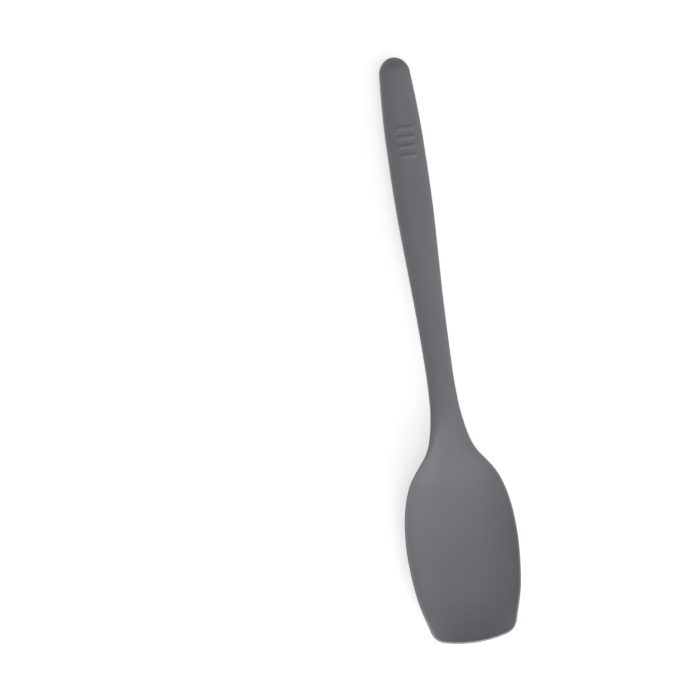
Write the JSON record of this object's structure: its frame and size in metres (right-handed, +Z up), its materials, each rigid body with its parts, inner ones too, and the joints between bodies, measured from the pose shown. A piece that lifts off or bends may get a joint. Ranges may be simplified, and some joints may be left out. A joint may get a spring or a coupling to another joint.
{
  "type": "spoon spatula",
  "caption": "Seamless silicone spoon-shaped spatula: shallow bowl with a nearly straight front edge, slim raised neck and flattened oval handle, moulded over a stiff hidden core.",
  "frame": {"origin": "centre of the bounding box's bottom face, on the table that the spatula lies on", "axes": "+Y along the spatula from the bowl's front edge to the handle's end, +Z up, out of the hollow, +X across"},
  "size_m": [0.0538, 0.28, 0.0196],
  "materials": {
    "silicone": "matte",
    "nylon": "matte",
    "steel": "rolled"
  },
  "bodies": {
    "root": {"silicone_body": "silicone", "handle_filler": "nylon", "core_spine": "steel", "bowl_insert": "steel", "lap_rivets": "steel"}
  },
  "joints": []
}
